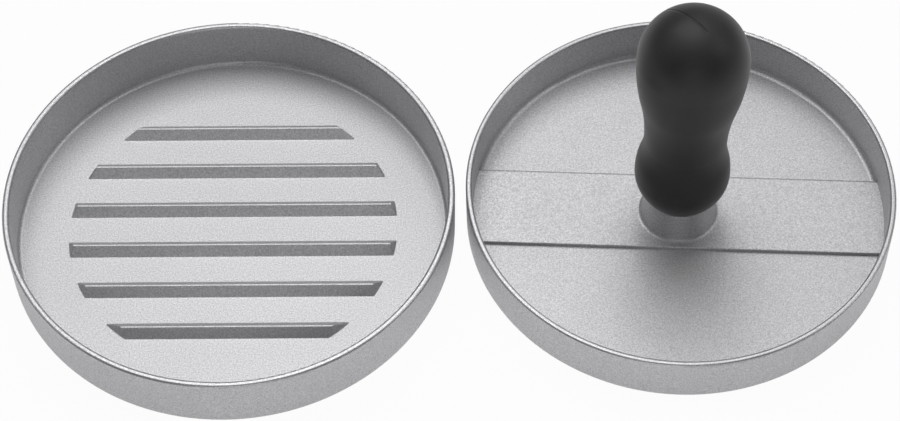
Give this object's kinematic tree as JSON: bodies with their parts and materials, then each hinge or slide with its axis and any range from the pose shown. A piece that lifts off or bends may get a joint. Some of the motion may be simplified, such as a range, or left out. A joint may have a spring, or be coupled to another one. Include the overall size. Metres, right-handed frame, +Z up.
{
  "type": "burger press",
  "caption": "Round cast aluminium burger press: a ridged tray beside a flat press plate with a black soft-grip handle.",
  "frame": {"origin": "centre of the tray's flat underside", "axes": "+X from the tray towards the press plate that stands beside it, +Y to the back, along the rim's plane, +Z up"},
  "size_m": [0.238, 0.1231, 0.083],
  "materials": {
    "coated_aluminium": "fine sand-textured silver non-stick coating, satin",
    "grip_rubber": "smooth matt soft-touch rubber",
    "hard_plastic": "plain moulded",
    "steel": "zinc-bright"
  },
  "bodies": {
    "tray": {"tray": "coated_aluminium"},
    "press": {"press_plate": "coated_aluminium"},
    "washer": {"washer": "steel"},
    "handle": {"handle_grip": "grip_rubber", "handle_core": "hard_plastic", "handle_bolt": "steel"}
  },
  "joints": [
    {"name": "press_lift", "type": "slide", "parent": "tray", "child": "press", "axis": [0, 0, 1], "range_m": [0, 0.12]},
    {"name": "handle_rise", "type": "slide", "parent": "press", "child": "washer", "axis": [0, 0, 1], "range_m": [0, 0.0105]},
    {"name": "handle_turn", "type": "hinge", "parent": "washer", "child": "handle", "pos_m": [0.12037, 0.00555, 0.0145], "axis": [0, 0, 1], "range_deg": [0, 2880]}
  ],
  "couplings": [
    {"joint": "handle_rise", "follows": "handle_turn", "m_per_rad": 0.00019894}
  ]
}
